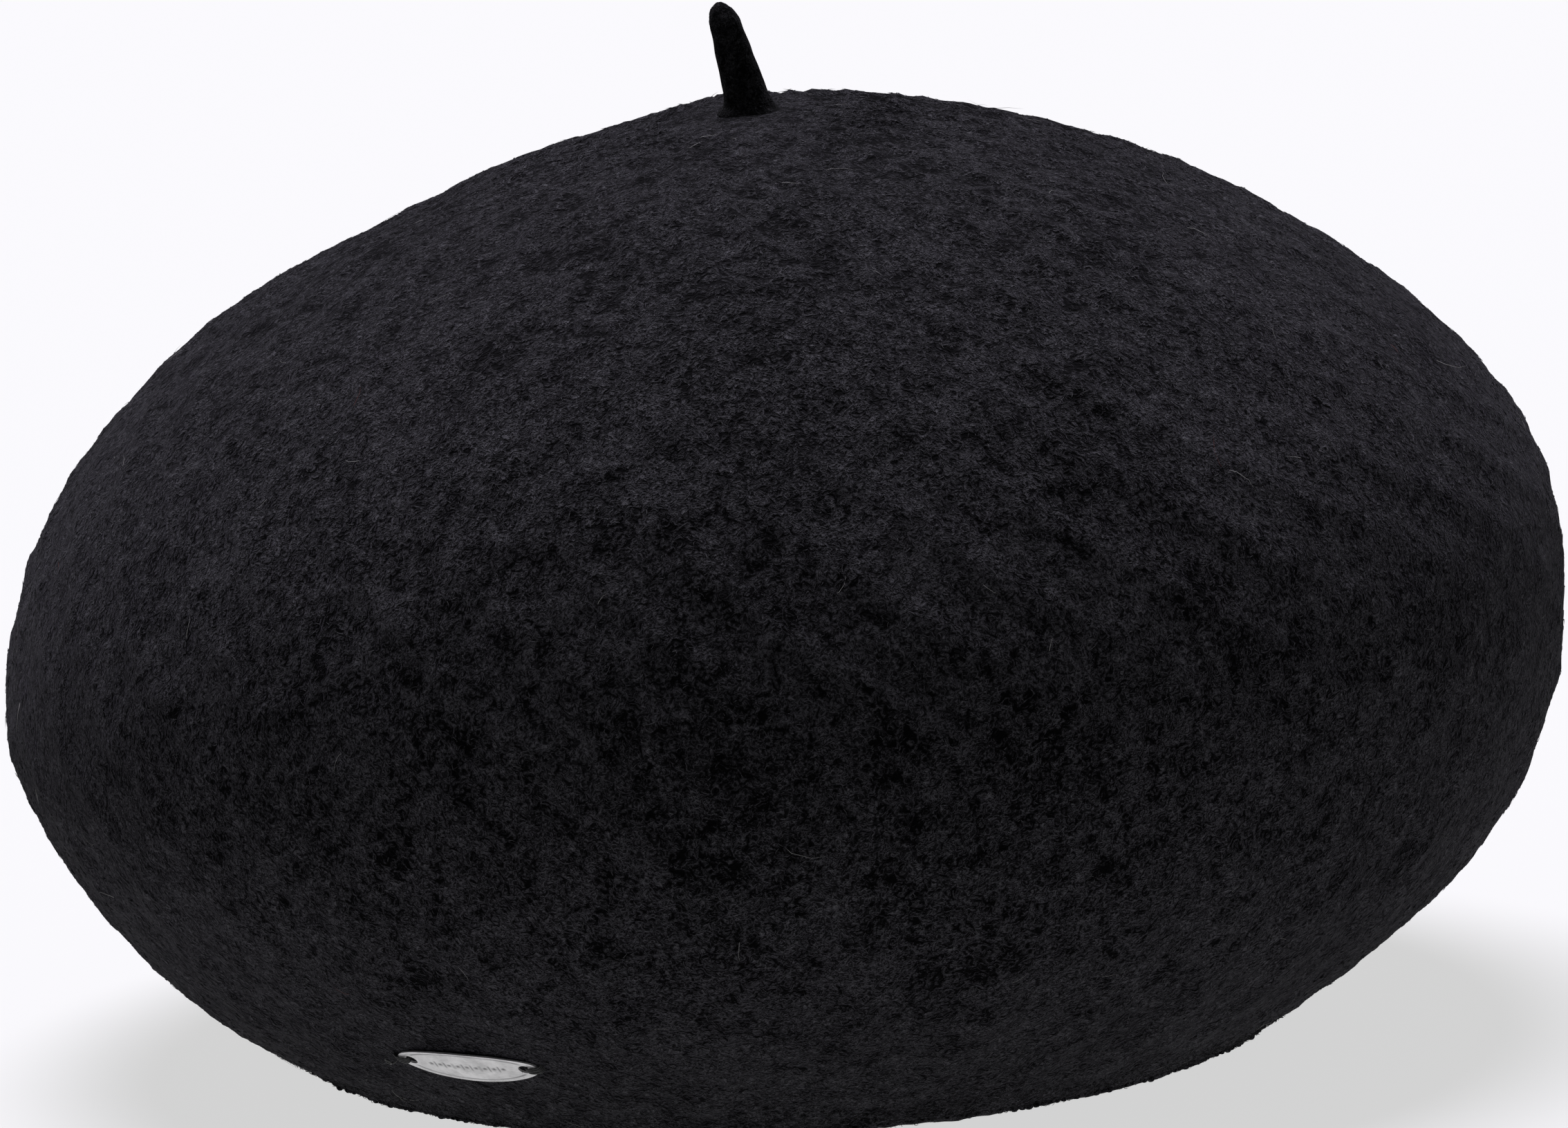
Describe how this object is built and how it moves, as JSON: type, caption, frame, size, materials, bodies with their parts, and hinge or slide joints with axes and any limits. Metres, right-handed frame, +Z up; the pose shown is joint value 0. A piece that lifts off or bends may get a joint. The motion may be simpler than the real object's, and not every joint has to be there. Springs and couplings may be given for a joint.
{
  "type": "beret",
  "caption": "Puffed black wool beret with a turned hem, a short leaning stem, a small sewn-on oval metal plate and a ribbon headband inside.",
  "frame": {"origin": "centre of the bounding box in plan, on the plane of the rim's lower edge", "axes": "+X to the wearer's left as seen from the front (right in a front view), -Y towards the front, +Z up through the crown"},
  "size_m": [0.2794, 0.2658, 0.1852],
  "materials": {
    "wool_felt": "brushed wool nap",
    "stem_felt": "tight rolled felt",
    "sewing_thread": "twisted matt thread",
    "plate_metal": "satin",
    "band_ribbon": "ribbed grosgrain",
    "label_weave": "woven label",
    "care_label_satin": "folded satin tape"
  },
  "bodies": {
    "root": {"felt_body": "wool_felt", "stem": "stem_felt", "stem_thread": "sewing_thread", "name_plate": "plate_metal", "plate_thread_left": "sewing_thread", "plate_thread_right": "sewing_thread", "plate_knot_left": "sewing_thread", "plate_knot_right": "sewing_thread", "headband": "band_ribbon", "headband_join": "band_ribbon", "headband_thread": "sewing_thread", "size_label": "label_weave", "size_label_thread": "sewing_thread", "care_label": "care_label_satin", "care_label_thread": "sewing_thread"}
  },
  "joints": []
}
